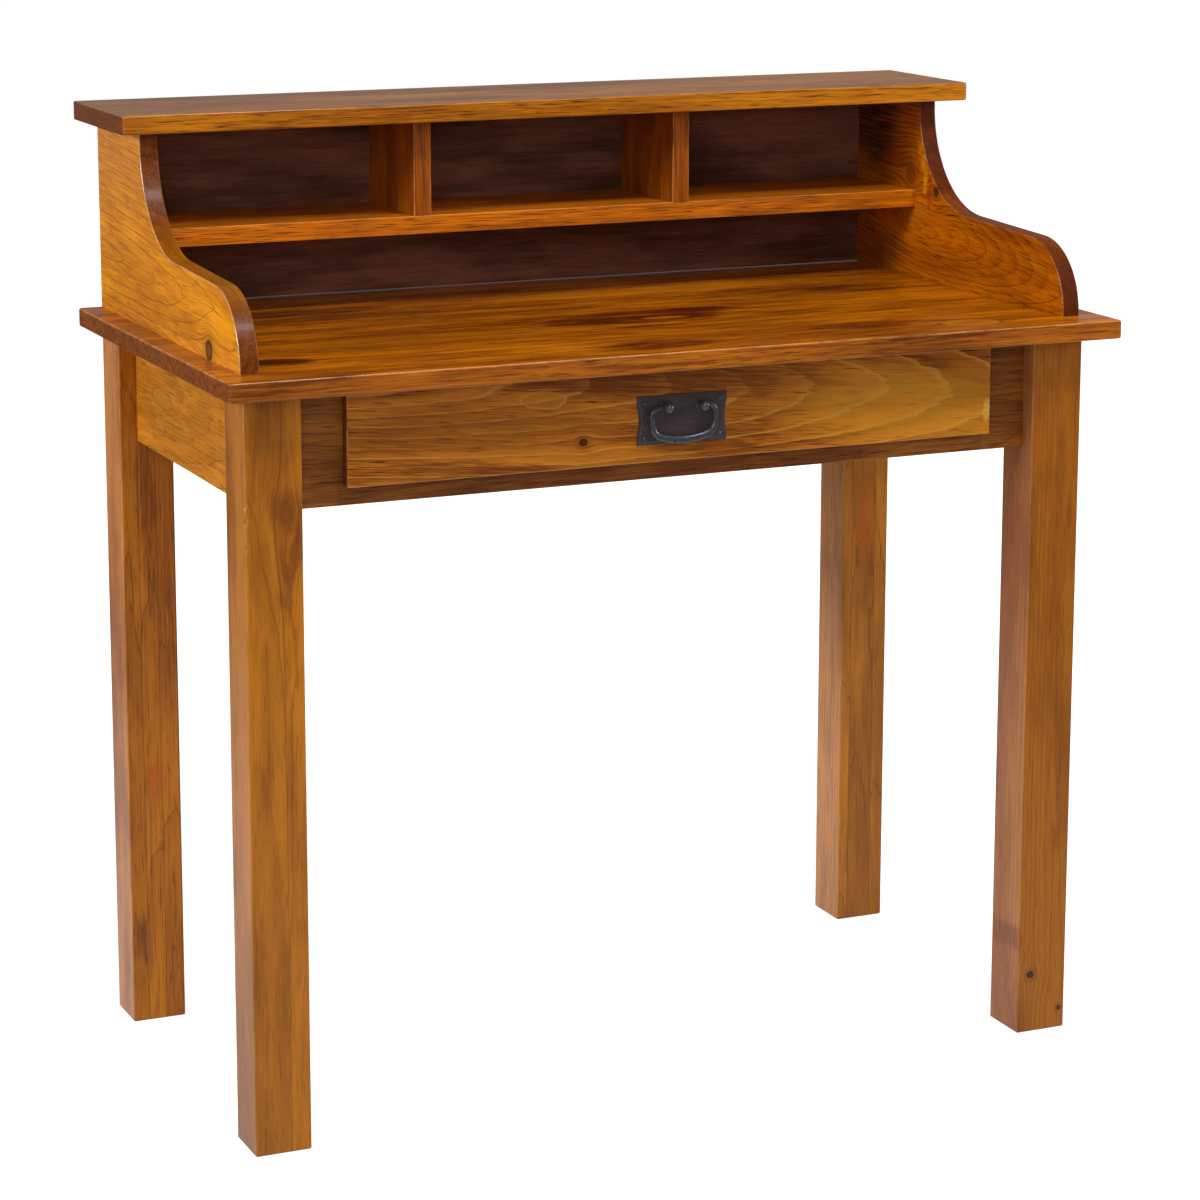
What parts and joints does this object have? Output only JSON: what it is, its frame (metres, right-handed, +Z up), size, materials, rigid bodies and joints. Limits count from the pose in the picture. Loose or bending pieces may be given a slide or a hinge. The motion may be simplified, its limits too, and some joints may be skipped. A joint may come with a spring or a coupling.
{
  "type": "postmaster desk",
  "caption": "Writing desk on square legs with a shallow pull-out drawer, a hanging bail pull and a low rack of pigeonholes between curved side panels.",
  "frame": {"origin": "on the floor, under the middle of the worktop", "axes": "+Z up, front (drawer side) towards -Y, +X to the right as seen from the front"},
  "size_m": [0.95, 0.5, 0.976],
  "materials": {
    "stained_wood": "honey-brown stain under satin lacquer",
    "dark_plywood": "dark stained plywood, satin",
    "plain_wood": "bare hardwood, waxed where it slides",
    "blackened_iron": "oil-blackened bronze over iron, satin",
    "plain_steel": "zinc plated"
  },
  "bodies": {
    "desk": {"worktop": "stained_wood", "leg_front_left": "stained_wood", "leg_front_right": "stained_wood", "leg_back_left": "stained_wood", "leg_back_right": "stained_wood", "front_apron": "stained_wood", "back_apron": "stained_wood", "left_apron": "stained_wood", "right_apron": "stained_wood", "runner_left": "plain_wood", "runner_right": "plain_wood", "kicker_left": "plain_wood", "kicker_right": "plain_wood", "top_buttons": "plain_wood", "top_button_screws": "plain_steel", "rack_side_left": "stained_wood", "rack_side_right": "stained_wood", "rack_shelf": "stained_wood", "rack_divider_left": "stained_wood", "rack_divider_right": "stained_wood", "rack_cap": "stained_wood", "rack_back": "dark_plywood", "rack_side_screws": "plain_steel", "rack_cap_dowels": "plain_wood", "rack_back_screws": "plain_steel"},
    "drawer": {"drawer_front": "stained_wood", "drawer_side_left": "plain_wood", "drawer_side_right": "plain_wood", "drawer_back": "plain_wood", "drawer_bottom": "plain_wood", "drawer_pins": "plain_steel", "drawer_bottom_screws": "plain_steel", "pull_plate": "blackened_iron", "pull_plate_nails": "blackened_iron", "pull_post_left": "blackened_iron", "pull_post_right": "blackened_iron", "pull_nuts": "plain_steel"},
    "bail": {"pull_bail": "blackened_iron"}
  },
  "joints": [
    {"name": "drawer_slide", "type": "slide", "parent": "desk", "child": "drawer", "axis": [0, -1, 0], "range_m": [0, 0.28]},
    {"name": "bail_swing", "type": "hinge", "parent": "drawer", "child": "bail", "pos_m": [0, -0.2142, 0.702], "axis": [-1, 0, 0], "range_deg": [0, 170]}
  ]
}
